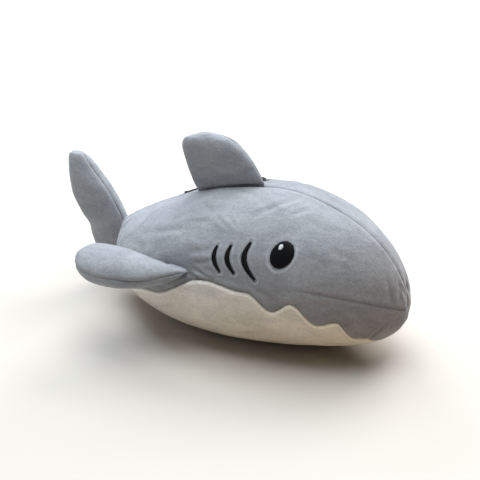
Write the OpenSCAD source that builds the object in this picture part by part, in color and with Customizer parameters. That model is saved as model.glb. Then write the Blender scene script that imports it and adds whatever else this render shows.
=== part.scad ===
// Plush shark: a stuffed toy with a zipped pocket in its back.
// The head points along +X, the left side along +Y, and the belly rests on Z = 0.

/* [Body] */
// Length from the nose to the tail seam
body_length = 370; // [340:10:400]
// Widest measure across the flanks
body_width = 204; // [190:2:220]
// Height of the stuffed body before its belly settles
body_height = 180; // [168:2:192]
// How far the belly settles flat on the ground
belly_settle = 5; // [4:0.5:7]
// Height of the closing seam at the tail end
rear_seam = 48; // [40:2:56]
// Thickness of the body fabric with its pile
fabric = 3; // [2.5:0.1:3.5]

/* [Fins] */
// Height of the dorsal fin above its root
dorsal_height = 56; // [50:1:66]
// Reach of each pectoral fin from its root to its tip
pectoral_reach = 126; // [110:2:136]
// Height of the upper tail lobe above the notch
upper_lobe = 91; // [80:1:100]
// Depth of the lower tail lobe below the notch
lower_lobe = 62; // [52:1:66]
// Gap between a fin's root and the body
root_gap = 1.5; // [1.2:0.1:2]

/* [Face] */
// Width of the embroidered eye
eye_width = 24; // [22:0.5:30]
// Height of the embroidered eye
eye_height = 32.5; // [28:0.5:36]
// Stroke width of the largest gill slit
gill_stroke = 6.4; // [4:0.2:7]

/* [Zipper] */
// Width of the slot that the zipper fills
zip_slot = 15; // [14:0.5:17]
// Width of the closed coil
coil_width = 4.8; // [4:0.2:5.6]
// Length of the pull tab
pull_length = 21; // [16:1:26]
// Depth of the pocket under the zipper
pocket_depth = 60; // [40:5:70]

/* [Hidden] */
$fn = 32;
L = body_length / 2;
W = body_width / 2;
H = body_height / 2;
layer_gap = 1;          // between a panel and the filling behind it
seam_gap = 0.12;        // half the gap along a seam, as an angle
stitch_lift = 0.25;     // from the fabric to the underside of the embroidery
stitch_height = 1;      // thickness of the embroidery

// ---- the body's surface -------------------------------------------------------------------
// t runs from -1 at the tail seam to 1 at the nose.
// a runs round the body: 90 on the spine, 0 on the right flank, -90 under the belly.

function fullness(t) = sqrt(max(0, 1 - t * t));
function half_width(t) = W * fullness(t) * (1 - 0.13 * t);
function half_height(t) =
    H * fullness(t) * (1 + 0.15 * t - 0.19 * pow(t, 2) + 0.16 * pow(t, 3))
    + rear_seam / 2 * pow((1 - t) / 2, 4);
function mid_height(t) = H * (1 + 0.22 * t - 0.2 * pow(t, 2) - 0.2 * pow(t, 3)) - belly_settle;

// A point at the given depth under the skin.
function skin(t, a, depth = 0) = [
    (L - depth) * t,
    -(1 - depth / W) * half_width(t) * cos(a),
    mid_height(t) + (1 - depth / H) * half_height(t) * sin(a)
];

function along(t, a) = (skin(t + 0.01, a) - skin(t - 0.01, a)) / 0.02;
function around(t, a) = (skin(t, a + 1) - skin(t, a - 1)) / 2;
function unit(v) = v / norm(v);
function outward(t, a) = unit(cross(along(t, a), around(t, a)));

// A point u mm forward and v mm up from the place (t, a), raised off the skin.
function on_skin(t, a, u, v, lift) =
    let (tt = t + u / norm(along(t, a)), aa = a + v / norm(around(t, a)))
    skin(tt, aa) + lift * outward(tt, aa);

// Keeps a point no lower than the given height.
function above(p, z) = [p[0], p[1], max(p[2], z)];

// ---- curves -------------------------------------------------------------------------------

function spline(a, b, c, d, f) =
    b + f * (c - a) / 2 + f * f * (a - 2.5 * b + 2 * c - d / 2) + f * f * f * ((d - a) / 2 + 1.5 * (b - c));

// Smooth curve through evenly counted rows, with s from 0 to 1.
function through(rows, s) =
    let (
        n = len(rows) - 1,
        i = min(n - 1, floor(s * n)),
        f = s * n - i,
        first = i > 0 ? rows[i - 1] : 2 * rows[0] - rows[1],
        last = i < n - 1 ? rows[i + 2] : 2 * rows[n] - rows[n - 1]
    )
    spline(first, rows[i], rows[i + 1], last, f);

// The row interval that holds t, and the curve through [t, angle] rows.
function interval(rows, t, i = 0) = i >= len(rows) - 2 || t < rows[i + 1][0] ? i : interval(rows, t, i + 1);
function angle_at(rows, t) =
    let (
        i = interval(rows, t),
        f = (t - rows[i][0]) / (rows[i + 1][0] - rows[i][0]),
        ease = (1 - cos(180 * min(1, max(0, f)))) / 2
    )
    rows[i][1] + ease * (rows[i + 1][1] - rows[i][1]);

// The wavy seam between the grey flank and the cream belly.
belly_tip = 0.885;
belly_wave = [
    [-0.9782, -89.6], [-0.92, -40], [-0.85, -25], [-0.46, -7],
    [-0.08, 10], [0.20, 4.5], [0.36, -7.5], [0.46, 0.5],
    [0.60, -16.5], [0.70, -12], [0.78, -37], [0.83, -40.5], [belly_tip, -89.6]
];
function belly_edge(t) = angle_at(belly_wave, t);
function flank_edge(t) = t >= belly_tip || t < belly_wave[0][0] ? -90 : belly_edge(t);

// ---- closed meshes from grids of points ---------------------------------------------------

function flat(grid) = [for (row = grid) for (p = row) p];

// A closed mesh of triangles, turned inside out if they face inward.
module closed_mesh(points, faces) {
    sixfold = [for (f = faces) points[f[0]] * cross(points[f[1]], points[f[2]])];
    facing = sixfold * [for (f = faces) 1];
    polyhedron(points, [for (f = faces) facing > 0 ? [f[0], f[2], f[1]] : f]);
}

// Two triangles for each cell of a grid whose first point is number "base".
function cells(n, m, base, flip) = [
    for (i = [0 : n - 2]) for (j = [0 : m - 2])
        let (a = base + i * m + j, b = a + 1, c = a + m, d = c + 1)
        each flip ? [[a, c, d], [a, d, b]] : [[a, d, c], [a, b, d]]
];

// Two triangles for each step round the matching edges of two grids.
function rim(p, q) = [
    for (k = [0 : len(p) - 1])
        let (next = (k + 1) % len(p))
        each [[p[k], q[k], q[next]], [p[k], q[next], p[next]]]
];

// A panel: an outer and an inner grid joined round their edges.
module panel_between(outer, inner) {
    n = len(outer);
    m = len(outer[0]);
    first = [for (j = [0 : m - 2]) j];
    right = [for (i = [0 : n - 2]) i * m + m - 1];
    last = [for (j = [m - 1 : -1 : 1]) (n - 1) * m + j];
    left = [for (i = [n - 1 : -1 : 1]) i * m];
    edge = concat(first, right, last, left);
    closed_mesh(
        concat(flat(outer), flat(inner)),
        concat(cells(n, m, 0, true), cells(n, m, n * m, false), rim([for (k = edge) k + n * m], edge))
    );
}

// A closed solid through rings of points, with a flat fan on each end.
module loft(rings) {
    n = len(rings);
    m = len(rings[0]);
    wall = [
        for (i = [0 : n - 2]) for (j = [0 : m - 1])
            let (a = i * m + j, b = i * m + (j + 1) % m, c = a + m, d = b + m)
            each [[a, b, d], [a, d, c]]
    ];
    first_cap = [for (j = [1 : m - 2]) [0, j + 1, j]];
    last_cap = [for (j = [1 : m - 2]) [(n - 1) * m, (n - 1) * m + j, (n - 1) * m + j + 1]];
    closed_mesh(flat(rings), concat(wall, first_cap, last_cap));
}

// ---- body ---------------------------------------------------------------------------------

// The flanks and the belly share these stations, so their edges run side by side.
// They lie closer together where the belly's edge runs steeply down to its tip.
tip_angle = 152.25;
tip_step = (tip_angle - 134) / 10;
station_angles = [
    0.6, each [4 : 4 : 132], each [134 : tip_step : tip_angle + 0.1], each [156 : 4 : 176], 179.4
];
stations = [for (angle = station_angles) -cos(angle)];
belly_stations = [for (t = stations) if (t > belly_wave[0][0] && t < belly_tip) t];

module flank_panel() {
    steps = 13;
    layer = function (depth) [
        for (t = stations)
            let (low = flank_edge(t) + seam_gap)
            [for (j = [0 : steps])
                above(skin(t, 90 - seam_gap + (low - 90 + seam_gap) * j / steps, depth), depth)]
    ];
    panel_between(layer(0), layer(fabric));
}

module right_flank_panel() {
    color("#a3a5ad") flank_panel();
}

module left_flank_panel() {
    color("#a3a5ad") difference() {
        mirror([0, 1, 0]) flank_panel();
        zip_opening(zip_slot);
    }
}

module belly_panel() {
    steps = 18;
    layer = function (depth) [
        for (t = belly_stations)
            let (edge = belly_edge(t) - seam_gap)
            [for (j = [0 : steps])
                let (p = skin(t, edge + (-180 - 2 * edge) * j / steps, depth))
                depth > 0 ? above(p, depth) : p]
    ];
    color("#e9e2d8") intersection() {
        panel_between(layer(0), layer(fabric));
        translate([-L, -W, 0]) cube([2 * L, 2 * W, 2 * H]);
    }
}

module body_stuffing() {
    depth = fabric + 1.5 * layer_gap;
    color("#f4f4f2") difference() {
        loft([
            for (angle = [6 : 4 : 174])
                [for (j = [0 : 35]) above(skin(-cos(angle), -10 * j, depth), depth)]
        ]);
        zip_opening(zip_slot + 1);
        pocket_space(layer_gap);
    }
}

// ---- embroidery ---------------------------------------------------------------------------

eye_place = [0.369, 34.5];
eye_tilt = 13;

// An oval pad that follows the skin, between two heights above it.
module oval_pad(place, centre, size, low, high) {
    middle = (low + high) / 2;
    rings = [[0.02, low], [0.5, low], [1, low], [1, middle], [0.8, high], [0.4, high], [0.02, high]];
    loft([
        for (r = rings)
            [for (j = [0 : 23])
                let (
                    x = r[0] * size[0] / 2 * cos(-15 * j),
                    y = r[0] * size[1] / 2 * sin(-15 * j)
                )
                on_skin(place[0], place[1],
                    centre[0] + x * cos(eye_tilt) + y * sin(eye_tilt),
                    centre[1] - x * sin(eye_tilt) + y * cos(eye_tilt), r[1])]
    ]);
}

module right_eye() {
    color("#17171b")
        oval_pad(eye_place, [0, 0], [eye_width, eye_height], stitch_lift, stitch_lift + stitch_height);
}

module left_eye() {
    color("#17171b") mirror([0, 1, 0]) right_eye();
}

module right_eye_highlight() {
    base = stitch_lift + stitch_height + 0.1;
    centre = [-eye_width * 0.14, eye_height * 0.22];
    color("white") oval_pad(eye_place, centre, [eye_width, eye_height] * 0.2, base, base + 0.6);
}

module left_eye_highlight() {
    color("white") mirror([0, 1, 0]) right_eye_highlight();
}

// Each gill slit: its middle, its height, its bow and its share of the stroke width.
gills = [
    [[-0.01, 26], 28.5, 5.2, 0.8],
    [[0.076, 26.5], 30.5, 6, 0.9],
    [[0.188, 27], 40, 9, 1]
];

module gill_slit(place, height, bow, stroke) {
    steps = 12;
    loft([
        for (i = [0 : steps])
            let (
                s = i / steps,
                v = height * (s - 0.5),
                u = -bow * sin(180 * s) + bow / 2 - v * 0.35,
                half = stroke / 2 * (0.4 + 0.6 * sin(180 * s))
            )
            [for (corner = [[-1, 0], [1, 0], [1, 1], [0, 1.3], [-1, 1]])
                on_skin(place[0], place[1], u + corner[0] * half, v,
                    stitch_lift + stitch_height * corner[1])]
    ]);
}

module right_gill_slits() {
    color("#17171b") for (g = gills) gill_slit(g[0], g[1], g[2], g[3] * gill_stroke);
}

module left_gill_slits() {
    color("#17171b") mirror([0, 1, 0]) right_gill_slits();
}

// ---- zipper -------------------------------------------------------------------------------
// The zipper follows the back on the left of the dorsal fin, along a round arc
// through three places on the skin. Its frame has X forward along the chord and Z outward.

zip_angle = 90 - 20;     // round the mirrored body, so 20 degrees left of the spine
zip_rear_t = -0.66;
zip_front_t = -0.02;
function left_skin(t) = let (p = skin(t, zip_angle)) [p[0], -p[1], p[2]];
function left_outward(t) = let (n = outward(t, zip_angle)) [n[0], -n[1], n[2]];
zip_rear = left_skin(zip_rear_t);
zip_front = left_skin(zip_front_t);
zip_middle = left_skin((zip_rear_t + zip_front_t) / 2);
zip_chord = norm(zip_front - zip_rear);
zip_x = unit(zip_front - zip_rear);
zip_y = unit(cross(left_outward((zip_rear_t + zip_front_t) / 2), zip_x));
zip_z = cross(zip_x, zip_y);
zip_rise = (zip_middle - zip_rear) * zip_z;
zip_radius = (pow(zip_chord / 2, 2) + pow(zip_rise, 2)) / (2 * zip_rise);
zip_crown = (zip_front + zip_rear) / 2 + zip_rise * zip_z;
zip_sweep = asin(zip_chord / 2 / zip_radius);

tape_top = -1.4;         // below the arc
tape_thick = 1;
coil_top = 0.1;
coil_bottom = -1.3;
stop_length = 3;
slider_length = 11;
plate_low = 0.5;
plate_high = 1.9;
pin_height = 3.3;
pin_radius = 0.6;
knuckle_radius = 1.15;
knuckle_width = 2.6;
zip_end = zip_sweep - 1;
stop_sweep = stop_length / zip_radius * 180 / PI;
slider_sweep = slider_length / zip_radius * 180 / PI;
slider_rest = zip_end - stop_sweep - slider_sweep / 2 - 0.1;

module in_zip_frame() {
    multmatrix([
        [zip_x[0], zip_y[0], zip_z[0], zip_crown[0]],
        [zip_x[1], zip_y[1], zip_z[1], zip_crown[1]],
        [zip_x[2], zip_y[2], zip_z[2], zip_crown[2]],
        [0, 0, 0, 1]
    ]) children();
}

// A band of the arc between two angles, from one height to another and one side to the other.
module zip_band(from, to, low, high, side_a, side_b) {
    in_zip_frame() multmatrix([
        [0, 1, 0, 0],
        [0, 0, 1, 0],
        [1, 0, 0, -zip_radius],
        [0, 0, 0, 1]
    ])
        rotate_extrude(angle = to - from, start = from, $fn = 180)
            translate([zip_radius + low, side_a]) square([high - low, side_b - side_a]);
}

module at_zip(angle) {
    in_zip_frame() translate([0, 0, -zip_radius]) rotate([0, angle, 0]) translate([0, 0, zip_radius])
        children();
}

// The straight-sided hole that the zipper sits in.
module zip_opening(wide) {
    in_zip_frame() translate([-zip_chord / 2 - 1, -wide / 2, -zip_rise - 6])
        cube([zip_chord + 2, wide, zip_rise + 26]);
}

module zipper_tapes() {
    color("#1d1d20") {
        zip_band(-zip_sweep, zip_sweep, tape_top - tape_thick, tape_top, 0.4, zip_slot / 2 - 0.3);
        zip_band(-zip_sweep, zip_sweep, tape_top - tape_thick, tape_top, -zip_slot / 2 + 0.3, -0.4);
    }
}

module zipper_coil() {
    reach = zip_end - stop_sweep;
    color("#26262a") zip_band(-reach, reach, coil_bottom, coil_top, -coil_width / 2, coil_width / 2);
}

module zipper_stops() {
    reach = stop_sweep - 0.05;
    color("#8d8f94") {
        zip_band(zip_end - reach, zip_end, coil_bottom, coil_top + 1, -coil_width / 2, coil_width / 2);
        zip_band(-zip_end, -zip_end + reach, coil_bottom, coil_top + 1, -coil_width / 2, coil_width / 2);
    }
}

module pocket_outline(grow) {
    half = zip_chord / 2 - 8 + grow;
    top = -zip_rise - 7.5;
    translate([-half, top - pocket_depth - grow]) square([2 * half, pocket_depth + grow * 2]);
}

// The space for the pocket bag in the stuffing, open to the zipper.
module pocket_space(grow) {
    in_zip_frame() rotate([90, 0, 0]) translate([0, 0, -2 - grow])
        linear_extrude(4 + 2 * grow) union() {
            pocket_outline(grow);
            translate([0, 4]) pocket_outline(grow);
        }
}

module zipper_pocket() {
    color("#cfd1d6") in_zip_frame() rotate([90, 0, 0]) translate([0, 0, -2])
        linear_extrude(4) pocket_outline(0);
}

module zipper_slider() {
    flange = coil_width / 2 + 0.4;
    color("#6f7176") at_zip(slider_rest) {
        translate([-slider_length / 2, -flange - 1.6, plate_low])
            cube([slider_length, 2 * flange + 3.2, plate_high - plate_low]);
        for (side = [0, 1]) mirror([0, side, 0])
            translate([-slider_length / 2, flange, tape_top + 0.5])
                cube([slider_length, 1.6, plate_high - tape_top - 0.5]);
        for (side = [0, 1]) mirror([0, side, 0])
            translate([-1.4, knuckle_width / 2 + 0.2, plate_low])
                cube([2.8, 1.1, pin_height + 1.2 - plate_low]);
        translate([0, 0, pin_height]) rotate([90, 0, 0])
            cylinder(r = pin_radius, h = knuckle_width + 2.4, center = true);
    }
}

module zipper_pull() {
    tab_half = 0.6;
    color("#6f7176") at_zip(slider_rest) translate([0, 0, pin_height]) difference() {
        union() {
            rotate([90, 0, 0]) cylinder(r = knuckle_radius, h = knuckle_width, center = true);
            translate([-4, -knuckle_width / 2, -tab_half]) cube([4, knuckle_width, 2 * tab_half]);
            translate([-pull_length, -3, -tab_half]) cube([pull_length - 3, 6, 2 * tab_half]);
        }
        rotate([90, 0, 0]) cylinder(r = pin_radius + 0.2, h = knuckle_width + 1, center = true);
    }
}

// ---- fins ---------------------------------------------------------------------------------
// A fin is a row of sections. Each section has its front point, its rear point,
// half its thickness, and how far its middle is lifted to follow a curved root.

fin_fabric = 2;
fin_rows = 12;
// How far the fabric's inside and the fill stop short of each end, as shares of the fin's length.
lining_end = 0.06;
fill_end = 0.1;

// A point round a fin's section: v is 0 at the front seam and 180 at the rear seam.
function fin_point(rows, normal, s, v, chord_part, thick_part) =
    let (
        row = through(rows, s),
        front = [row[0], row[1], row[2]],
        rear = [row[3], row[4], row[5]],
        centre = (front + rear) / 2,
        lift = [0, 0, row[7] * sin(v) * sin(v)]
    )
    centre + lift + (front - rear) / 2 * chord_part * cos(v) + normal * row[6] * thick_part * sin(v);

// The same point at a depth under the fabric.
function fin_inner(rows, normal, s, v, depth) =
    let (row = through(rows, s), half_chord = norm([row[0] - row[3], row[1] - row[4], row[2] - row[5]]) / 2)
    fin_point(rows, normal, s, v, max(0.3, 1 - depth / half_chord), max(0.3, 1 - depth / row[6]));

// One fabric side of a fin, between the two seams.
module fin_panel(rows, normal, side) {
    steps = 10;
    layer = function (depth, inset) [
        for (i = [0 : fin_rows])
            [for (j = [0 : steps])
                fin_inner(rows, normal, inset + (1 - 2 * inset) * i / fin_rows,
                    side * (1 + 178 * (side > 0 ? j : steps - j) / steps), depth)]
    ];
    panel_between(layer(0, 0), layer(fin_fabric, lining_end));
}

module fin_stuffing(rows, normal) {
    loft([
        for (i = [0 : fin_rows])
            [for (j = [0 : 15])
                fin_inner(rows, normal, fill_end + (1 - 2 * fill_end) * i / fin_rows,
                    22.5 * j, fin_fabric + layer_gap)]
    ]);
}

// Dorsal fin: its root runs along the spine, and its tip leans back.
dorsal_root_front = skin(0.04, 90) + [0, 0, root_gap];
dorsal_root_rear = skin(-0.43, 90) + [0, 0, root_gap];
dorsal_arch = skin(-0.195, 90)[2] - (skin(0.04, 90)[2] + skin(-0.43, 90)[2]) / 2;
// Rows: front x, front height, rear x, rear height, half thickness, all from the root's front.
dorsal_outline = [
    [0, 0, 0, 0, 2],
    [-6, 0.17, -6, 0.22, 8],
    [-16, 0.42, -14, 0.6, 12],
    [-29, 0.66, -18, 0.95, 12],
    [-45, 0.81, -15, 1.12, 9.5],
    [-64, 0.86, -6, 1.2, 5.5],
    [-74, 0.86, 1, 1.245, 1.5]
];
dorsal_rows = [
    for (r = dorsal_outline) [
        dorsal_root_front[0] + r[0], 0, dorsal_root_front[2] + r[1] * dorsal_height,
        dorsal_root_rear[0] + r[2], 0, dorsal_root_rear[2] + r[3] * dorsal_height,
        r[4], dorsal_arch * max(0, 1 - 3 * r[1])
    ]
];

module dorsal_right_panel() {
    color("#a3a5ad") fin_panel(dorsal_rows, [0, -1, 0], 1);
}

module dorsal_left_panel() {
    color("#a3a5ad") fin_panel(dorsal_rows, [0, -1, 0], -1);
}

module dorsal_stuffing() {
    color("#f4f4f2") fin_stuffing(dorsal_rows, [0, -1, 0]);
}

// Pectoral fins: a leaf swept back from a short root on each flank.
pectoral_root = skin(-0.19, 15) + [0, -root_gap, 0];
// Rows: front x, y, z and rear x, y, z as parts of the reach, and half the thickness.
pectoral_outline = [
    [0.01, 0, 0, -0.22, 0.01, -0.01, 2],
    [-0.05, -0.1, -0.01, -0.36, -0.01, 0, 10],
    [-0.19, -0.26, -0.02, -0.56, -0.005, 0.01, 15.5],
    [-0.38, -0.39, -0.02, -0.75, -0.01, 0.02, 18],
    [-0.58, -0.44, -0.02, -0.89, -0.06, 0.03, 17],
    [-0.75, -0.43, -0.015, -0.95, -0.14, 0.03, 13.5],
    [-0.87, -0.38, -0.005, -0.975, -0.22, 0.025, 9],
    [-0.94, -0.33, 0.01, -0.965, -0.28, 0.015, 2.5]
];
pectoral_rows = [
    for (r = pectoral_outline) concat(
        pectoral_root + pectoral_reach * [r[0], r[1], r[2]],
        pectoral_root + pectoral_reach * [r[3], r[4], r[5]],
        [r[6], 0]
    )
];

module right_pectoral_upper_panel() {
    color("#a3a5ad") fin_panel(pectoral_rows, [0, 0, 1], 1);
}

module right_pectoral_lower_panel() {
    color("#a3a5ad") fin_panel(pectoral_rows, [0, 0, 1], -1);
}

module right_pectoral_stuffing() {
    color("#f4f4f2") fin_stuffing(pectoral_rows, [0, 0, 1]);
}

module left_pectoral_upper_panel() {
    color("#a3a5ad") mirror([0, 1, 0]) right_pectoral_upper_panel();
}

module left_pectoral_lower_panel() {
    color("#a3a5ad") mirror([0, 1, 0]) right_pectoral_lower_panel();
}

module left_pectoral_stuffing() {
    color("#f4f4f2") mirror([0, 1, 0]) right_pectoral_stuffing();
}

// Tail fin: an upright crescent behind the closing seam.
tail_root = [-L - root_gap, 0, mid_height(-1)];
notch_height = 13;
// Rows from the upper tip down: height as a part of the lobe, front x, rear x, half thickness.
upper_outline = [
    [1, -65, -69, 2],
    [0.97, -57, -79, 7.5],
    [0.84, -45, -81, 13],
    [0.59, -24, -80, 17],
    [0.32, -8, -76, 17],
    [0, 0, -55, 15]
];
lower_outline = [
    [0.25, 0, -52, 14],
    [0.55, -3, -45, 12.5],
    [0.84, -12, -40, 9],
    [0.97, -21, -37, 5],
    [1, -26, -32, 2]
];
function tail_row(r, lobe) = [
    tail_root[0] + r[1], 0, tail_root[2] + notch_height + r[0] * lobe,
    tail_root[0] + r[2], 0, tail_root[2] + notch_height + r[0] * lobe, r[3], 0
];
tail_rows = concat(
    [for (r = upper_outline) tail_row(r, upper_lobe)],
    [for (r = lower_outline) tail_row(r, -lower_lobe)]
);

module tail_right_panel() {
    color("#9698a1") fin_panel(tail_rows, [0, -1, 0], 1);
}

module tail_left_panel() {
    color("#9698a1") fin_panel(tail_rows, [0, -1, 0], -1);
}

module tail_stuffing() {
    color("#f4f4f2") fin_stuffing(tail_rows, [0, -1, 0]);
}

right_flank_panel();
left_flank_panel();
belly_panel();
body_stuffing();
right_eye();
left_eye();
right_eye_highlight();
left_eye_highlight();
right_gill_slits();
left_gill_slits();
zipper_tapes();
zipper_coil();
zipper_stops();
zipper_pocket();
zipper_slider();
zipper_pull();
dorsal_right_panel();
dorsal_left_panel();
dorsal_stuffing();
right_pectoral_upper_panel();
right_pectoral_lower_panel();
right_pectoral_stuffing();
left_pectoral_upper_panel();
left_pectoral_lower_panel();
left_pectoral_stuffing();
tail_right_panel();
tail_left_panel();
tail_stuffing();
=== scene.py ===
"""The looks of the plush shark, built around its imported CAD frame."""

import bpy
import numpy as np
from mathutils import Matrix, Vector
from mathutils.kdtree import KDTree


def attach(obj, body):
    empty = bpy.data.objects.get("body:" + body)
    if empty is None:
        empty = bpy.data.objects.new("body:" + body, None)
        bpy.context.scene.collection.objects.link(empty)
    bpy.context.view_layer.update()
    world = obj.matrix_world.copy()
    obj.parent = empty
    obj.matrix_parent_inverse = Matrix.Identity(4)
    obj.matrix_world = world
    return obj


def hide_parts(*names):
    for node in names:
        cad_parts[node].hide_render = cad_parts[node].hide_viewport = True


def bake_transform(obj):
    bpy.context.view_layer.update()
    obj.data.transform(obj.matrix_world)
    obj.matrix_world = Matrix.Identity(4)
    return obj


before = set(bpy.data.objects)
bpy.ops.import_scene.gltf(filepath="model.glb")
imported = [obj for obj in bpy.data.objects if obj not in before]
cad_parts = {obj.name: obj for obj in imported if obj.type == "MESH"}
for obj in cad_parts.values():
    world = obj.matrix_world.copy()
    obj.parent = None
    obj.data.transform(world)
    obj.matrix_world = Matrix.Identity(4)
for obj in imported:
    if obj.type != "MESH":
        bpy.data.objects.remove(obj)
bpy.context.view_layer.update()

MM = 0.001
draw = np.random.default_rng(7)


# ---- noise ---------------------------------------------------------

CELLS = 32           # the lattice repeats after this many cells
SEED_STEP = 5.17     # how far apart in it two seeds start
LATTICE = draw.uniform(-1, 1, (CELLS, CELLS, CELLS))


def noise(p, size, seed=0.0):
    """Smooth noise from -1 to 1 at points p, with lumps about size across."""
    q = np.asarray(p) / size + seed * SEED_STEP
    cell = np.floor(q).astype(int)
    f = q - cell
    f = f * f * f * (f * (f * 6 - 15) + 10)
    total = 0
    for corner in np.ndindex(2, 2, 2):
        weight = np.prod(np.where(corner, f, 1 - f), axis=-1)
        x, y, z = np.moveaxis((cell + corner) % CELLS, -1, 0)
        total = total + weight * LATTICE[x, y, z]
    return total


def noise_along(s, size, seed):
    """The same along a line."""
    s = np.asarray(s)
    return noise(np.stack([s, 0 * s + 0.37 * size, 0 * s + 0.61 * size], -1), size, seed)


def unit(v):
    return v / np.maximum(np.linalg.norm(v, axis=-1, keepdims=True), 1e-12)


def ease(x):
    """A smooth step from 0 at x = 0 to 1 at x = 1."""
    x = np.clip(x, 0, 1)
    return x * x * (3 - 2 * x)


def bell(x, width):
    return np.exp(-((x / width) ** 2))


def waves(d, folds):
    """Folds beside a line or an edge: the height, distance from it and width of each, in mm."""
    return sum(height * MM * bell(d - at * MM, width * MM) for height, at, width in folds)


def through(a, b, c, d, f):
    """A smooth curve from b, at f = 0, to c, at f = 1, with a before them and d after."""
    bend, twist = a - 2.5 * b + 2 * c - d / 2, (d - a) / 2 + 1.5 * (b - c)
    return b + f * (c - a) / 2 + f**2 * bend + f**3 * twist


# ---- the stuffed body ----------------------------------------------
# t runs from -1 at the tail seam to 1 at the nose. a is in degrees: 90 on the spine, 0 on the
# right flank, -90 under the belly, and 180 on the left flank.

L, W, H = 0.185, 0.102, 0.090            # half the length, width and height
REAR_SEAM, SETTLE = 0.048, 0.005         # height of the tail seam, and how far the body settles
SPINE, KEEL = 90, -90
NEAR_KEEL = -89.6                        # where the belly seam stops, just short of the keel
BELLY_TIP = 0.885
ROOT_GAP = 1.5 * MM                      # the CAD's gap between the body and each fin

# The belly seam and the dart over the snout, as (t, a) places.
WAVE = np.array([
    [-0.9782, NEAR_KEEL], [-0.92, -40], [-0.85, -25], [-0.46, -7], [-0.08, 10], [0.20, 4.5],
    [0.36, -7.5], [0.46, 0.5], [0.60, -16.5], [0.70, -12], [0.78, -37], [0.83, -40.5],
    [BELLY_TIP, NEAR_KEEL],
])
DART = np.array([[0.45, 11.5], [0.70, 12.2], [0.89, 14.5], [1.0, 17.0]])


def mid_height(t):
    return H * (1 + 0.22 * t - 0.2 * t**2 - 0.2 * t**3) - SETTLE


def skin(t, a):
    """The plain skin, by the same formula as the CAD's body."""
    t, r = np.broadcast_arrays(np.asarray(t, float), np.radians(a))
    full = np.sqrt(np.maximum(0, 1 - t * t))
    half_width = W * full * (1 - 0.13 * t)
    half_height = H * full * (1 + 0.15 * t - 0.19 * t**2 + 0.16 * t**3)
    half_height = half_height + REAR_SEAM / 2 * ((1 - t) / 2) ** 4
    return np.stack([L * t, -half_width * np.cos(r), mid_height(t) + half_height * np.sin(r)], -1)


def outward(t, a):
    """The plain skin's outward direction, from a small step each way."""
    step_t, step_a = 0.0004, 0.5
    t = np.clip(t, -0.9995, 0.9995)
    along = skin(t + step_t, a) - skin(t - step_t, a)
    around = skin(t, a + step_a) - skin(t, a - step_a)
    return unit(np.cross(along, around))


def belly_edge(t):
    """The belly seam's angle: soft waves from place to place, and a slight drift."""
    t = np.asarray(t, float)
    i = np.clip(np.searchsorted(WAVE[:, 0], t, side="right") - 1, 0, len(WAVE) - 2)
    f = np.clip((t - WAVE[i, 0]) / (WAVE[i + 1, 0] - WAVE[i, 0]), 0, 1)
    drift = 0.35 * noise_along(t, 0.028, 1) * ease((BELLY_TIP - t) / 0.1)
    return WAVE[i, 1] + (1 - np.cos(np.pi * f)) / 2 * (WAVE[i + 1, 1] - WAVE[i, 1]) + drift


def flank_edge(t):
    """A flank's lower edge. The two flanks meet at the keel past both ends of the belly."""
    return np.where((t >= BELLY_TIP) | (t < WAVE[0, 0]), KEEL, belly_edge(t))


def dart_angle(t):
    return np.interp(t, DART[:, 0], DART[:, 1])


def spline(points, count):
    """A smooth curve through the given points."""
    p = np.asarray(points, float)
    p = np.vstack([2 * p[0] - p[1], p, 2 * p[-1] - p[-2]])
    x = np.linspace(0, len(p) - 3 - 1e-9, count)
    i, f = x.astype(int), (x % 1)[:, None]
    return through(p[i], p[i + 1], p[i + 2], p[i + 3], f)


class Line:
    """A line on the surface, which gives how far points lie from it and how far along it."""

    def __init__(self, points, reach):
        self.points = np.asarray(points)
        self.reach = reach
        self.length = np.r_[0, np.cumsum(np.linalg.norm(np.diff(self.points, axis=0), axis=1))]
        self.tree = KDTree(len(self.points))
        for k, p in enumerate(self.points):
            self.tree.insert(p, k)
        self.tree.balance()

    def near(self, p):
        """Which points lie within reach, their distances, and their places along the line."""
        low, high = self.points.min(0) - self.reach, self.points.max(0) + self.reach
        chosen = np.flatnonzero(((p > low) & (p < high)).all(1))
        if not len(chosen):
            return chosen, np.zeros(0), np.zeros(0)
        q = p[chosen]
        k = np.array([self.tree.find(x)[1] for x in q])
        best, place = np.full(len(q), np.inf), np.zeros(len(q))
        for first in (np.maximum(k - 1, 0), np.minimum(k, len(self.points) - 2)):
            a, b = self.points[first], self.points[first + 1]
            f = np.clip(((q - a) * (b - a)).sum(1) / np.maximum(((b - a) ** 2).sum(1), 1e-15), 0, 1)
            d = np.linalg.norm(q - a - f[:, None] * (b - a), axis=1)
            closer = d < best
            best = np.where(closer, d, best)
            along = self.length[first] + f * np.linalg.norm(b - a, axis=1)
            place = np.where(closer, along, place)
        return chosen, best, place


def sewn(line, p, depth, width, gather, reach, seed):
    """How a seam sinks the fabric, swells it on both sides and gathers it."""
    fade, long_fold, short_fold, clear = 6 * MM, 6.2 * MM, 3.5 * MM, 0.8 * MM
    out = np.zeros(len(p))
    chosen, d, s = line.near(p)
    ends = ease(s / fade) * ease((line.length[-1] - s) / fade)
    folds = noise_along(s + 0.25 * d, long_fold, seed) + 0.6 * noise_along(s, short_fold, seed + 1)
    gathers = gather * folds * np.exp(-d / reach) * (1 - np.exp(-d / clear))
    swell = 0.45 * depth * bell(d - 3.2 * width, 2.2 * width)
    out[chosen] = ends * (-depth * np.exp(-d / width) + swell + gathers)
    return out


def crease(line, p, depth, width):
    """A soft wrinkle that fades at both ends, with a fold on each side."""
    out = np.zeros(len(p))
    chosen, d, s = line.near(p)
    fade = np.sin(np.pi * np.clip(s / line.length[-1], 0, 1)) ** 0.8
    out[chosen] = fade * depth * (-bell(d, width) + 0.5 * bell(d - 2 * width, width))
    return out


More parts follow.
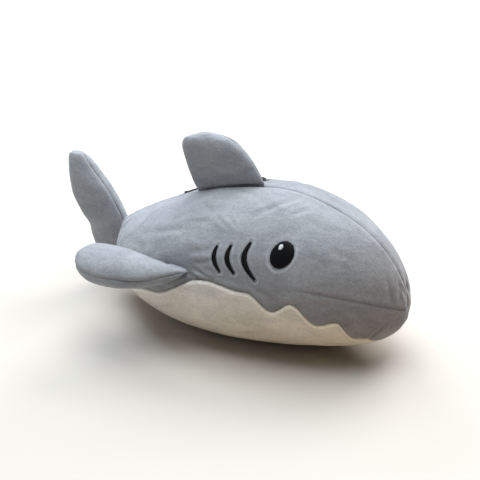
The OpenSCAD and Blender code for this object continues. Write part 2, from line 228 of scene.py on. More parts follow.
EYE_PLACE, EYE_TILT = (0.369, 35.0), 13.0
EYE_SIZE = np.array([0.0236, 0.0325]) / 2

# Each gill slit: its place, height, bow and how much of the full stroke it has.
GILLS = [
    ((-0.01, 26), 0.0285, 0.0052, 0.8),
    ((0.076, 26.5), 0.0305, 0.0060, 0.9),
    ((0.188, 27), 0.040, 0.0090, 1),
]
GILL_LEAN = 0.35
GILL_STROKE = 0.0067
PECTORAL_ROOT = (-0.19, 15)


def scale_at(place):
    """Metres for each unit of t, and for each degree, at a place on the skin."""
    t, a = place
    return (
        np.linalg.norm(skin(t + 0.01, a) - skin(t - 0.01, a)) / 0.02,
        np.linalg.norm(skin(t, a + 1) - skin(t, a - 1)) / 2,
    )


def from_place(place, u, v):
    """(t, a) of the point u metres forward and v metres up from a place."""
    along, around = scale_at(place)
    return place[0] + u / along, place[1] + v / around


def to_place(place, t, a):
    along, around = scale_at(place)
    return (t - place[0]) * along, (a - place[1]) * around


def gill_line(s, height, bow):
    """The middle of a gill slit, in metres forward and up from its place, with s from 0 to 1."""
    v = height * (s - 0.5)
    return -bow * np.sin(np.pi * s) + bow / 2 - GILL_LEAN * v, v


def gill_half(s, stroke):
    return stroke * GILL_STROKE / 2 * (0.4 + 0.6 * np.sin(np.pi * s))


# The zipper follows a round arc through three places on the back, 20 degrees left of the spine.
ZIP_REAR_T, ZIP_FRONT_T, ZIP_A = -0.66, -0.02, SPINE + 20


def zip_arc():
    """The arc's crown, its axes (along it, across it and outward), radius and half angle."""
    middle_t = (ZIP_REAR_T + ZIP_FRONT_T) / 2
    rear, middle, front = skin(np.array([ZIP_REAR_T, middle_t, ZIP_FRONT_T]), ZIP_A)
    x = unit(front - rear)
    y = unit(np.cross(outward(middle_t, ZIP_A), x))
    z = np.cross(x, y)
    half, rise = np.linalg.norm(front - rear) / 2, (middle - rear) @ z
    radius = (half**2 + rise**2) / (2 * rise)
    return (front + rear) / 2 + rise * z, np.array([x, y, z]), radius, np.arcsin(half / radius)


ZIP_CROWN, ZIP_AXES, ZIP_RADIUS, ZIP_SWEEP = zip_arc()
ZIP_END = ZIP_SWEEP - np.radians(1)
ZIP_HALF = ZIP_RADIUS * np.sin(ZIP_SWEEP)


def zip_coordinates(p):
    return (p - ZIP_CROWN) @ ZIP_AXES.T


def zip_point(angle, across, rise):
    """The point at an angle along the zipper's arc, across it and above it."""
    reach = ZIP_RADIUS + rise
    local = np.stack([reach * np.sin(angle), across + 0 * angle, reach * np.cos(angle) - ZIP_RADIUS], -1)
    return ZIP_CROWN + local @ ZIP_AXES


def on_left(a):
    """The mirrored angle."""
    return 180 - a


# Places along each seam.
T = -np.cos(np.radians(np.linspace(0.3, 179.7, 900)))
T_BELLY = T[(T > WAVE[0, 0]) & (T < BELLY_TIP)]
T_NOSE = 0.998
T_DART = np.linspace(DART[0, 0], T_NOSE, 300)
T_CHIN = np.linspace(BELLY_TIP, T_NOSE, 90)
A_TAIL = np.linspace(KEEL, SPINE, 120)

SEAM_REACH = 0.03
BELLY_SEWN, DART_SEWN = (1.25, 1.7, 0.42, 8), (0.8, 1.4, 0.3, 6)

# Each seam: its places, then its depth, width, gathers and their reach in mm.
SEAMS = [
    (T, SPINE, (0.95, 1.8, 0.36, 9)),
    (T_BELLY, belly_edge(T_BELLY), BELLY_SEWN),
    (T_BELLY, on_left(belly_edge(T_BELLY)), BELLY_SEWN),
    (T_DART, dart_angle(T_DART), DART_SEWN),
    (T_DART, on_left(dart_angle(T_DART)), DART_SEWN),
    (T_CHIN, KEEL, (1.1, 1.5, 0.35, 8)),
]
SEAMS = [(Line(skin(t, a), SEAM_REACH), *np.multiply(sewing, MM)) for t, a, sewing in SEAMS]
TAIL_LINE = Line(skin(-1 + 0 * A_TAIL, A_TAIL), SEAM_REACH)

# Where the dorsal fin's root runs along the spine.
DORSAL_REAR_T, DORSAL_FRONT_T = -0.43, 0.04
DORSAL_LINE = Line(skin(np.linspace(DORSAL_REAR_T, DORSAL_FRONT_T, 120), SPINE), SEAM_REACH)

# Folds in mm, as waves() takes them.
TAIL_FOLDS = [(2.6, 8.5, 3.5), (-1.9, 15.0, 2.2), (0.8, 19.5, 3.0)]
EYE_FOLDS = [(-1.0, 0.9, 1.1), (0.6, 3.4, 1.4)]
GILL_FOLDS = [(-0.9, 0.8, 1.0), (0.5, 3.0, 1.2)]
ZIP_EDGE_FOLDS = [(0.3, 7.6, 1.2), (-0.3, 10.2, 0.9)]

# Each wrinkle on the right: (t, a) places, depth and width in mm. The left has its own, shifted.
WRINKLES = [
    ([(-0.66, 44), (-0.42, 46), (-0.2, 47)], 0.8, 4.5),
    ([(-0.21, 28.5), (-0.15, 30), (-0.06, 31)], 0.7, 3.2),
    ([(-0.13, 57), (-0.055, 51), (0.02, 46)], 0.5, 2.4),
    ([(-0.03, 56), (0.02, 51), (0.06, 46)], 0.5, 2.2),
    ([(-0.19, 14), (-0.11, 11.5), (-0.04, 9.5)], 1.1, 1.8),
    ([(-0.17, 19.5), (-0.075, 14.3), (0.01, 11.5)], 1.1, 1.8),
    ([(-0.19, 23), (-0.1, 22.6), (0.0, 26)], 0.7, 2.4),
    ([(-0.5, -30), (-0.36, -19), (-0.22, -9)], 1.1, 2.8),
    ([(0.10, 54), (0.22, 69), (0.33, 87)], 0.85, 3.6),
    ([(0.31, 62), (0.37, 70), (0.43, 79)], 0.6, 2.8),
    ([(0.89, 66), (0.93, 44), (0.955, 22)], 0.9, 3.0),
    ([(0.92, 86), (0.955, 68), (0.98, 40)], 0.8, 2.4),
    ([(0.925, 104), (0.96, 106), (0.985, 104)], 0.8, 2.4),
    ([(0.58, 50), (0.66, 49), (0.75, 51)], 0.5, 3.5),
    ([(0.80, -48), (0.87, -34), (0.94, -14)], 1.3, 2.0),
    ([(-0.925, 0), (-0.945, 28), (-0.92, 52), (-0.86, 70)], 1.3, 2.3),
    ([(-0.86, 2), (-0.885, 28), (-0.86, 48)], 0.7, 3.0),
    ([(-0.38, 51), (-0.25, 52), (-0.1, 51)], 0.5, 3.5),
    ([(-0.27, 70), (-0.18, 62), (-0.1, 56)], 0.5, 3.5),
    ([(0.24, 10), (0.33, 5), (0.42, 0)], 0.5, 3.0),
    ([(-0.2, 84), (0.05, 76), (0.25, 61)], 0.6, 4.5),
    ([(0.3, -30), (0.1, -36), (-0.1, -33)], 0.8, 4.0),
]
CREASE_REACH = 0.02
CREASES = []
for places, deep, wide in WRINKLES:
    t, a = spline(places, 40).T
    CREASES.append((Line(skin(t, a), CREASE_REACH), deep * MM, wide * MM))
    t, a = np.clip(t + 0.025, -1, 0.99), on_left(a + 2)
    CREASES.append((Line(skin(t, a), CREASE_REACH), 0.8 * deep * MM, wide * MM))


def around_eye(t, a):
    """Metres from the edge of the eye, along the skin."""
    u, v = to_place(EYE_PLACE, t, a)
    c, s = np.cos(np.radians(EYE_TILT)), np.sin(np.radians(EYE_TILT))
    x, y = (u * c - v * s) / EYE_SIZE[0], (u * s + v * c) / EYE_SIZE[1]
    return (np.sqrt(x * x + y * y) - 1) * EYE_SIZE.mean()


def around_gill(gill, t, a):
    place, height, bow, stroke = gill
    u, v = to_place(place, t, a)
    s = v / height + 0.5
    line, _ = gill_line(np.clip(s, 0, 1), height, bow)
    past = np.maximum(np.abs(v) - height / 2, 0)
    return np.hypot(u - line, past) - gill_half(np.clip(s, 0, 1), stroke)


def embroidery_dips(t, a):
    """The stitches draw the fabric in round the eye and the gill slits, and it swells past them."""
    rise = waves(around_eye(t, a), EYE_FOLDS)
    for gill in GILLS:
        rise += waves(around_gill(gill, t, a), GILL_FOLDS)
    return rise


def pectoral_pull(t, a):
    """The pectoral fins pull the flanks in and draw folds from their roots."""
    root_length = 0.026
    u, v = to_place(PECTORAL_ROOT, t, a)
    u = u - np.clip(u, -root_length, 0)
    d, turn = np.hypot(u, v), np.arctan2(v, u)
    folds = noise_along(turn, 0.33, 24) * np.exp(-d / 0.013) * ease(d / 0.004)
    return -1.9 * MM * bell(d, 0.012) + 0.9 * MM * folds


def zipped(rise, p):
    """The relief with the zipper in a channel between two folded edges, and the pocket's sag."""
    slot_half, fold_past = 6.0 * MM, 1.2 * MM
    x, y, _ = np.moveaxis(zip_coordinates(p), -1, 0)
    inside = ease((ZIP_HALF + fold_past - np.abs(x)) / 0.0022)
    calm = 0.85 * inside * bell(y, 0.014)
    channel = -3.6 * MM * ease((slot_half - np.abs(y)) / 0.0014) + waves(np.abs(y), ZIP_EDGE_FOLDS)
    rise = rise * (1 - calm) + inside * channel * (p[:, 1] > 0)
    # the sag lies between the zipper and the spine, and is wider on the spine's side
    past = y + 8.5 * MM
    sag = ease((ZIP_HALF + 0.010 - np.abs(x)) / 0.02) * (p[:, 2] > 0.1)
    return rise - 3.2 * MM * sag * np.where(past > 0, bell(past, 6.5 * MM), bell(past, 8.5 * MM))


def relief(t, a, p):
    """How far the sewn and stuffed fabric stands off the plain skin, in metres."""
    rise = 0.9 * MM * noise(p, 0.048) + 0.32 * MM * noise(p, 0.019, 1) + 0.1 * MM * noise(p, 0.008, 2)
    for k, (line, deep, wide, gather, reach) in enumerate(SEAMS):
        rise += sewn(line, p, deep, wide, gather, reach, 3 + k)
    for line, deep, wide in CREASES:
        rise += crease(line, p, deep, wide)
    # the closing seam draws folds round the root of the tail
    chosen, d, s = TAIL_LINE.near(p)
    rise[chosen] += waves(d, TAIL_FOLDS) + 0.5 * MM * noise_along(s, 0.009, 20) * np.exp(-d / 0.014)
    # the same on both sides
    mirrored = np.where(p[:, 1] > 0, on_left(a), a)
    mirrored = np.where(mirrored > 180, mirrored - 360, mirrored)
    rise += embroidery_dips(t, mirrored) + pectoral_pull(t, mirrored)
    # the dorsal fin's root sinks a little
    chosen, d, s = DORSAL_LINE.near(p)
    rise[chosen] += 0.35 * MM * noise_along(s, 0.008, 27) * np.exp(-d / 0.012) - 0.9 * MM * bell(d, 0.007)
    return zipped(rise, p)


def hide(t, a, lift=0.0):
    """Points on the outside of the stuffed body, the skin's outward directions, and the relief."""
    t, a = np.broadcast_arrays(np.asarray(t, float), np.asarray(a, float))
    p, n = skin(t, a), outward(t, a)
    flat_p = p.reshape(-1, 3)
    rise = relief(t.ravel(), a.ravel(), flat_p).reshape(t.shape)
    out = p + n * (rise + lift)[..., None]
    # the belly settles flat on whatever it rests on
    softness, drop = 1.6 * MM, 0.35 * MM
    z = out[..., 2] - drop
    out[..., 2] = (z + np.sqrt(z * z + softness**2)) / 2
    return out, n, rise


# ---- meshes --------------------------------------------------------

def new_object(name, points, faces, material):
    mesh = bpy.data.meshes.new(name)
    mesh.from_pydata(np.asarray(points).tolist(), [], [list(map(int, f)) for f in faces])
    mesh.update()
    mesh.shade_smooth()
    mesh.materials.append(material)
    obj = bpy.data.objects.new(name, mesh)
    bpy.context.scene.collection.objects.link(obj)
    return obj


def keep_rest(obj, painted_shading=None):
    """Stores each point's rest place for the material, and its painted shading: painted shade above 0,
    painted highlight below.
    """
    mesh = obj.data
    co = np.zeros(len(mesh.vertices) * 3, np.float32)
    mesh.vertices.foreach_get("co", co)
    mesh.attributes.new("pile", "FLOAT_VECTOR", "POINT").data.foreach_set("vector", co)
    values = np.zeros(len(mesh.vertices)) if painted_shading is None else painted_shading
    mesh.attributes.new("painted_shading", "FLOAT", "POINT").data.foreach_set("value", values.astype(np.float32))
    return obj


def grid_cells(n, m, base=0):
    i, j = np.meshgrid(np.arange(n - 1), np.arange(m - 1), indexing="ij")
    a = (base + i * m + j).ravel()
    return np.stack([a, a + m, a + m + 1, a + 1], 1)


def panel(name, outer, inner, material, painted_shading=None):
    """A closed sheet of fabric between two grids of points."""
    n, m = outer.shape[:2]
    edge = np.r_[np.arange(m - 1), np.arange(n - 1) * m + m - 1,
                 (n - 1) * m + np.arange(m - 1, 0, -1), np.arange(n - 1, 0, -1) * m]
    after = np.roll(edge, -1)
    faces = np.vstack([
        grid_cells(n, m), grid_cells(n, m, n * m)[:, ::-1],
        np.stack([edge, after, after + n * m, edge + n * m], 1),
    ])
    points = np.vstack([outer.reshape(-1, 3), inner.reshape(-1, 3)])
    centre = points.mean(0)
    a, b, c, d = np.moveaxis(points[faces] - centre, 1, 0)
    if (a * (np.cross(b, c) + np.cross(c, d))).sum() < 0:    # the volume, if the faces look outward
        faces = faces[:, ::-1]
    obj = new_object(name, points, faces, material)
    # painted shading on the outer points only
    values = np.zeros(2 * n * m)
    if painted_shading is not None:
        values[: n * m] = np.ravel(painted_shading)
    return keep_rest(obj, values)


# ---- materials -----------------------------------------------------

class Nodes:
    """A small helper for building a material's nodes."""

    def __init__(self, name):
        self.material = bpy.data.materials.new(name)
        self.material.use_nodes = True
        self.tree = self.material.node_tree
        self.shader = self.tree.nodes["Principled BSDF"]

    def add(self, kind, **values):
        node = self.tree.nodes.new("ShaderNode" + kind)
        for key, value in values.items():
            if key in node.inputs:
                self.put(node.inputs[key], value)
            else:
                setattr(node, key.lower(), value)
        return node

    def put(self, target, value):
        """Sets a socket, or links another node's socket to it."""
        if isinstance(value, bpy.types.NodeSocket):
            self.link(value, target)
        else:
            target.default_value = value

    def link(self, socket, target):
        self.tree.links.new(socket, target)

    def place(self):
        return self.add("Attribute", attribute_name="pile").outputs["Vector"]

    def object_place(self):
        return self.add("TexCoord").outputs["Object"]

    def noise(self, place, scale, detail=3.0, roughness=0.55, distortion=0.0):
        return self.add("TexNoise", Vector=place, Scale=scale, Detail=detail, Roughness=roughness,
                        Distortion=distortion).outputs["Fac"]

    def math(self, operation, a, b, c=0.0):
        node = self.tree.nodes.new("ShaderNodeMath")
        node.operation = operation
        for target, value in zip(node.inputs, (a, b, c)):
            self.put(target, value)
        return node.outputs[0]

    def ramp(self, fac, low, high, low_at=0.0, high_at=1.0):
        node = self.add("ValToRGB", Fac=fac)
        for stop, at, colour in zip(node.color_ramp.elements, (low_at, high_at), (low, high)):
            stop.position, stop.color = at, (*colour, 1)
        return node.outputs["Color"]

    def mix(self, fac, a, b, blend="MIX"):
        node = self.tree.nodes.new("ShaderNodeMix")
        node.data_type, node.blend_type = "RGBA", blend
        for target, value in (("Factor", fac), ("A", a), ("B", b)):
            self.put(node.inputs[target], (*value, 1) if isinstance(value, tuple) else value)
        return node.outputs["Result"]

    def bump(self, height, distance, strength, normal=None):
        node = self.add("Bump", Height=height, Distance=distance, Strength=strength)
        if normal is not None:
            self.link(normal, node.inputs["Normal"])
        return node.outputs["Normal"]


def scaled(colour, by):
    return tuple(min(1.0, c * by) for c in colour)


NAP, TUFT, PATCH, BROAD = 640, 290, 38, 9      # the pile's noise scales, finest first
PAINTED_SHADING_STRENGTH = -0.3                              # how much painted shade darkens a place marked 1; below 0 it is a painted highlight
PAINTED_WARM_SHADE_TOP, PAINTED_WARM_SHADE_LEAN = 0.12, -0.35              # where the painted warm shade ends, and its slope along x


def plush(name, colour, shade, sheen, tint, painted_warm_shade):
    """Short brushed pile: fine nap, soft mottling and broad patches where it lies another way, with
    painted shade in the dips, painted highlights round the embroidery and on the belly bead, and a
    painted warm shade, warmer and darker low down, most of all under the nose."""
    n = Nodes(name)
    place = n.place()
    nap = n.noise(place, NAP, 3, 0.6)
    tuft = n.noise(place, TUFT, 3, 0.6, 0.6)
    swept = n.add("Mapping", Vector=place, Rotation=(0.2, -0.5, 0.1), Scale=(0.6, 0.9, 1.5))
    patch = n.noise(swept.outputs["Vector"], PATCH, 3, 0.6, 0.7)
    broad = n.noise(place, BROAD, 2, 0.5, 0.4)
    dark, light = scaled(colour, 1 - shade), scaled(colour, 1 + shade)
    fine = n.ramp(nap, dark, light, 0.36, 0.64)
    lean = n.ramp(patch, dark, light, 0.33, 0.67)
    colours = n.mix(0.6, fine, lean)
    clumps = n.ramp(tuft, scaled((1, 1, 1), 1 - 0.6 * shade), (1, 1, 1), 0.34, 0.6)
    colours = n.mix(1.0, colours, clumps, "MULTIPLY")
    colours = n.mix(n.math("MULTIPLY", broad, 0.3), colours, tint)
    # painted shading: painted shade in dips, seams and creases, painted highlights where it is below 0
    painted_shading = n.add("Attribute", attribute_name="painted_shading").outputs["Fac"]
    colours = n.mix(1.0, colours, n.math("MULTIPLY_ADD", painted_shading, PAINTED_SHADING_STRENGTH, 1.0), "MULTIPLY")
    # painted warm shade: warmer and darker low down and towards the nose
    split = n.add("SeparateXYZ", Vector=place)
    shade_height = n.math("MULTIPLY_ADD", split.outputs["X"], PAINTED_WARM_SHADE_LEAN, split.outputs["Z"])
    colours = n.mix(1.0, colours, n.ramp(shade_height, painted_warm_shade, (1, 1, 1), 0.0, PAINTED_WARM_SHADE_TOP), "MULTIPLY")
    n.link(colours, n.shader.inputs["Base Color"])
    fluff = n.math("ADD", n.math("MULTIPLY", nap, 0.55), n.math("MULTIPLY", tuft, 0.45))
    normal = n.bump(fluff, 0.0010, 0.8)
    normal = n.bump(patch, 0.0026, 0.5, normal)
    n.link(normal, n.shader.inputs["Normal"])
    n.shader.inputs["Roughness"].default_value = 0.92
    n.shader.inputs["Specular IOR Level"].default_value = 0.12
    n.shader.inputs["Sheen Weight"].default_value = sheen
    n.shader.inputs["Sheen Roughness"].default_value = 0.4
    n.shader.inputs["Sheen Tint"].default_value = (0.93, 0.96, 1.0, 1)
    return n.material


def thread(name, colour, roughness, sheen):
    """Satin thread: a twist and small changes of shade from strand to strand."""
    n = Nodes(name)
    place = n.place()
    strand = n.noise(place, 900, 2)
    cloud = n.noise(place, 150, 2)
    tone = n.mix(0.5, n.ramp(strand, scaled(colour, 0.6), scaled(colour, 1.5)),
                 n.ramp(cloud, scaled(colour, 0.7), scaled(colour, 1.35)))
    n.link(tone, n.shader.inputs["Base Color"])
    n.link(n.bump(strand, 0.0002, 0.6), n.shader.inputs["Normal"])
    n.link(n.math("MULTIPLY_ADD", cloud, 0.2, roughness - 0.1), n.shader.inputs["Roughness"])
    n.shader.inputs["Specular IOR Level"].default_value = 0.16
    n.shader.inputs["Sheen Weight"].default_value = sheen
    return n.material


def woven(name, colour, pitch):
    """A fine plain weave."""
    n = Nodes(name)
    place = n.object_place()
    warp, weft = (n.add("TexWave", Vector=place, Scale=pitch, Distortion=0.6, bands_direction=way)
                  for way in ("X", "Y"))
    cloth = n.math("MULTIPLY", warp.outputs["Fac"], weft.outputs["Fac"])
    cloud = n.noise(place, 120, 3)
    tone = n.mix(0.5, n.ramp(cloth, scaled(colour, 0.6), scaled(colour, 1.6)),
                 n.ramp(cloud, scaled(colour, 0.75), scaled(colour, 1.3)))
    n.link(tone, n.shader.inputs["Base Color"])
    n.link(n.bump(cloth, 0.0002, 0.7), n.shader.inputs["Normal"])
    n.link(n.math("MULTIPLY_ADD", cloud, 0.15, 0.75), n.shader.inputs["Roughness"])
    n.shader.inputs["Sheen Weight"].default_value = 0.2
    return n.material


def enamel(name, colour, metallic, roughness):
    """Coated metal or nylon with faint scuffs."""
    n = Nodes(name)
    place = n.object_place()
    scuff = n.noise(place, 400, 5, 0.7)
    cloud = n.noise(place, 90, 3)
    tone = n.mix(0.5, n.ramp(scuff, scaled(colour, 0.75), scaled(colour, 1.35), 0.35, 0.7),
                 n.ramp(cloud, scaled(colour, 0.85), scaled(colour, 1.15)))
    n.link(tone, n.shader.inputs["Base Color"])
    n.link(n.math("MULTIPLY_ADD", scuff, 0.3, roughness - 0.15), n.shader.inputs["Roughness"])
    n.link(n.bump(scuff, 0.00008, 0.4), n.shader.inputs["Normal"])
    n.shader.inputs["Metallic"].default_value = metallic
    return n.material


# the last colour of each is its painted warm shade
GREY = plush("grey_plush", (0.325, 0.328, 0.34), 0.24, 0.42, (0.33, 0.347, 0.38), (0.78, 0.66, 0.58))
CREAM = plush("cream_plush", (0.83, 0.80, 0.76), 0.19, 0.2, (0.80, 0.74, 0.64), (0.86, 0.74, 0.58))
BLACK = thread("black_thread", (0.002, 0.002, 0.0026), 0.6, 0.0)
WHITE = thread("white_thread", (0.78, 0.79, 0.80), 0.45, 0.1)
TAPE = woven("zipper_tape", (0.018, 0.018, 0.021), 700)
LINING = woven("lining", (0.55, 0.56, 0.60), 500)
NYLON = enamel("zipper_nylon", (0.022, 0.022, 0.026), 0.0, 0.42)
METAL = enamel("zipper_metal", (0.10, 0.10, 0.11), 0.7, 0.38)


# ---- body panels ---------------------------------------------------

SEAM_GAP = 0.06      # degrees from a seam to a panel's edge
FABRIC = 2.2 * MM


def stations(count, first, last):
    """Values of t, evenly spread over the lengths of the spine and the belly seam."""
    samples = 6001
    t = -np.cos(np.linspace(np.arccos(-first), np.arccos(-last), samples))
    lines = skin(t, SPINE), skin(t, flank_edge(t))
    step = sum(np.linalg.norm(np.diff(line, axis=0), axis=1) for line in lines)
    length = np.r_[0, np.cumsum(step)]
    return np.interp(np.linspace(0, length[-1], count), length, t)


def columns(rows, counts):
    """Angles from each control row to the next, closer together next to the rows."""
    parts = []
    for low, high, count in zip(rows[:-1], rows[1:], counts):
        f = np.arange(count) / count
        f = 0.45 * f + 0.55 * (1 - np.cos(np.pi * f)) / 2
        parts.append(low[:, None] + f * (high - low)[:, None])
    return np.hstack([*parts, rows[-1][:, None]])


def painted_dip_shade(rise):
    """How much painted shade a place gets that lies below the plain skin, from 0 to 1 at 1.4 mm."""
    return np.clip(-rise / (1.4 * MM), 0, 1) ** 1.3


def painted_ring_highlight(t, a):
    """Painted highlights: pale rings round the eye and the gill slits, for the light on the puckered
    fabric there.
    """
    ring = bell(around_eye(t, a) - 2.0 * MM, 1.5 * MM)
    for gill in GILLS:
        ring = np.maximum(ring, 0.8 * bell(around_gill(gill, t, a) - 1.8 * MM, 1.3 * MM))
    return 1.4 * ring


def flank(name, side):
    t = stations(320, -0.99998, 0.99998)
    t_before_dart, spine = DART[0, 0] - 0.01, SPINE + 0 * t
    middle = dart_angle(t) + (45 - dart_angle(t)) * ease((t_before_dart - t) / 0.25)
    rows = [spine - SEAM_GAP, spine - 14, spine - 26, middle, flank_edge(t) + SEAM_GAP]
    a = columns(rows, [12, 16, 38, 46])
    outer, n, rise = hide(t[:, None], a if side < 0 else on_left(a))
    # painted shade in the dips, less the painted highlight rings round the embroidery
    return panel(name, outer, outer - n * FABRIC, GREY, painted_dip_shade(rise) - painted_ring_highlight(t[:, None], a))


def belly(name):
    t = stations(280, WAVE[0, 0] + 0.0004, BELLY_TIP - 0.0004)
    edge = belly_edge(t) - SEAM_GAP
    a = columns([edge, KEEL + 0 * t, 2 * KEEL - edge], [52, 52])
    outer, n, rise = hide(t[:, None], a)
    # the cut edge inside the seam plumps the cream fabric into a soft, brushed bead, also painted paler
    # as a painted highlight
    inward, wide, high = 2.4 * MM, 2.0 * MM, 0.9 * MM
    degree = np.linalg.norm(skin(t, edge + 0.5) - skin(t, edge - 0.5), axis=1)
    from_edge = (abs(edge - KEEL)[:, None] - abs(a - KEEL)) * degree[:, None]
    bead = bell(from_edge - inward, wide) * ease(from_edge / MM)
    outer = outer + n * (high * bead)[..., None]
    # painted shade in the dips, and the bead painted paler as a painted highlight
    return panel(name, outer, outer - n * FABRIC, CREAM, painted_dip_shade(rise) - bead)


right_flank = flank("right_flank", -1)
left_flank = flank("left_flank", 1)
belly_piece = belly("belly")
for piece, nodes in (
    (right_flank, ["right_flank_panel"]), (left_flank, ["left_flank_panel"]),
    (belly_piece, ["belly_panel", "body_stuffing"]),
):
    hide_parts(*nodes)
    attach(piece, "torso")


# ---- fins ----------------------------------------------------------
# Rows in mm: front x, y, z, rear x, y, z, half the thickness, lift of the middle.

def between_rows(rows, s):
    """The rows' values at s, which runs from 0 at the first row to 1 at the last."""
    p = np.vstack([2 * rows[0] - rows[1], rows, 2 * rows[-1] - rows[-2]])
    x = np.clip(s, 0, 1) * (len(rows) - 1)
    i = np.minimum(x.astype(int), len(rows) - 2)
    f = (x - i)[..., None]
    return through(p[i], p[i + 1], p[i + 2], p[i + 3], f)


class Fin:
    """A stuffed fin. Its front seam is split degrees off the front edge, towards the normal.
    Before s = 0 the root goes into the body by sink, and after it swells by root_swell."""

    ROUND, SWELL_AT, SINK_S = 0.05, 0.045, 0.03      # shares of its length

    def __init__(self, rows, normal, split, fullness, sink=None, both_tips=False, root_swell=0.0):
        self.rows, self.normal, self.split = np.array(rows) * MM, np.array(normal, float), split
        self.fullness, self.both_tips, self.root_swell = fullness, both_tips, root_swell
        self.sink = None if sink is None else np.array(sink)

    def point(self, s, v):
        """s runs from root to tip, or from the upper tip to the lower, and v round the section."""
        s, v = np.broadcast_arrays(np.asarray(s, float), np.asarray(v, float))
        row = between_rows(self.rows, s)
        front, rear, half, lift = row[..., :3], row[..., 3:6], row[..., 6], row[..., 7]
        close = np.clip((1 - s) / self.ROUND, 0, 1)
        if self.both_tips:
            close = np.minimum(close, np.clip(s / self.ROUND, 0, 1))
        half = half * np.sqrt(close * (2 - close))
        if self.root_swell:
            grow = np.sqrt(np.clip(s / self.SWELL_AT, 0, 1))
            half = half + self.root_swell * grow * np.exp(-np.maximum(s - self.SWELL_AT, 0) / 0.12)
        c, w = np.cos(np.radians(v)), np.sin(np.radians(v))
        across = np.sign(w) * np.abs(w) ** self.fullness
        out = (front + rear) / 2 + (front - rear) / 2 * c[..., None]
        out = out + self.normal * (half * across)[..., None]
        out[..., 2] += lift * w * w
        if self.sink is not None:
            out = out + self.sink * np.clip(-s / self.SINK_S, 0, 1)[..., None]
        return out

    def seam_start(self, s):
        """The front seam's angle, which comes back to the edge at both ends."""
        return self.split * np.sqrt(np.clip(np.sin(np.pi * np.clip(s, 0, 1)) * 3, 0, 1))

    def grid(self, side, n, m):
        """One side's places from root to tip, its points and their outward directions."""
        gap, step_s, step_v = 0.3, 0.004, 0.4
        first = 0.0 if self.sink is None else -self.SINK_S
        s = first + (1 - first) * np.linspace(0, 1, n)
        start = self.seam_start(s)
        f = np.linspace(0, 1, m)
        f = 0.4 * f + 0.6 * (1 - np.cos(np.pi * f)) / 2
        span = 180 - start if side > 0 else 180 + start
        v = start[:, None] + side * (gap + (span[:, None] - 2 * gap) * f)
        p = self.point(s[:, None], v)
        ahead = np.clip(s + step_s, None, 1)
        along = self.point(ahead[:, None], v) - self.point(s[:, None] - step_s, v)
        if self.sink is not None:
            along[s < step_s] = -self.sink
        around = self.point(s[:, None], v + step_v) - self.point(s[:, None], v - step_v)
        normal = unit(np.cross(along, around))
        if (normal * self.normal).sum(-1).mean() * side < 0:
            normal = -normal
        return s, p, normal

    def seam(self):
        """The seam round the whole fin, up its front and down its rear edge."""
        s = np.linspace(0.0, 1, 260)
        front, rear = self.point(s, self.seam_start(s)), self.point(s, 180 + 0 * s)
        return Line(np.vstack([front, rear[::-1]]), 0.025)


def fin_piece(name, fin, side, seed, mirror, extra):
    s, p, n = fin.grid(side, 110, 56)
    flat_p = p.reshape(-1, 3)
    rise = sewn(fin.seam(), flat_p, 0.75 * MM, 1.3 * MM, 0.34 * MM, 7 * MM, seed)
    rise += 0.7 * MM * noise(flat_p, 0.030, seed) + 0.3 * MM * noise(flat_p, 0.013, seed + 1)
    if extra is not None:
        rise += extra(flat_p)
    rise = rise.reshape(p.shape[:2])
    outer = p + n * rise[..., None]
    width = np.linalg.norm(fin.point(s[:, None], 90.0) - fin.point(s[:, None], -90.0), axis=-1)
    thick = np.minimum(1.6 * MM, 0.35 * width + 0.3 * MM)
    inner = outer - n * thick[..., None]
    if mirror:
        outer, inner = outer * (1, -1, 1), inner * (1, -1, 1)
    # painted shade in the fin's seams and dips
    return panel(name, outer, inner, GREY, painted_dip_shade(rise))


def at_root(t, a, gap):
    """A fin's root on the skin in mm, beyond the CAD's gap."""
    return (skin(t, a) + ROOT_GAP * np.array(gap)) / MM


DORSAL_HEIGHT, PECTORAL_REACH = 55, 126
TAIL_NOTCH, TAIL_UPPER, TAIL_LOWER = 13, 91, 62      # how far up the lobes meet, and their heights

dorsal_front, dorsal_middle, dorsal_rear = (
    at_root(t, SPINE, (0, 0, 1))
    for t in (DORSAL_FRONT_T, (DORSAL_FRONT_T + DORSAL_REAR_T) / 2, DORSAL_REAR_T))
dorsal_arch = dorsal_middle[2] - (dorsal_front[2] + dorsal_rear[2]) / 2
dorsal_rows = [
    [dorsal_front[0] + fx, 0, dorsal_front[2] + DORSAL_HEIGHT * fh,
     dorsal_rear[0] + rx, 0, dorsal_rear[2] + DORSAL_HEIGHT * rh, half, dorsal_arch * max(0, 1 - 3 * fh)]
    for fx, fh, rx, rh, half in [
        (0, 0, 0, 0, 3.5), (-6, .17, -6, .22, 9), (-16, .42, -14, .6, 12), (-29, .66, -18, .95, 12),
        (-45, .81, -15, 1.12, 9.5), (-64, .86, -6, 1.2, 5.5), (-74, .86, 1, 1.245, 2.5)]
]
dorsal = Fin(dorsal_rows, (0, -1, 0), -20, 0.75, sink=(0, 0, -0.0045), root_swell=0.0035)

pectoral_root = at_root(*PECTORAL_ROOT, (0, -1, 0))
pectoral_rows = [
    [*(pectoral_root + PECTORAL_REACH * np.array(r[:3])),
     *(pectoral_root + PECTORAL_REACH * np.array(r[3:6])), r[6], 0]
    for r in [
        (.01, 0, 0, -.22, .01, -.01, 3), (-.05, -.1, -.01, -.36, -.01, 0, 10),
        (-.19, -.26, -.02, -.56, -.005, .01, 15.5), (-.38, -.39, -.02, -.75, -.01, .02, 18),
        (-.58, -.44, -.02, -.89, -.06, .03, 17), (-.75, -.43, -.015, -.95, -.14, .03, 13.5),
        (-.87, -.38, -.005, -.975, -.22, .025, 9), (-.94, -.33, .01, -.965, -.28, .015, 3)]
]
pectoral = Fin(pectoral_rows, (0, 0, 1), 3, 0.85, sink=(0, 0.006, 0))

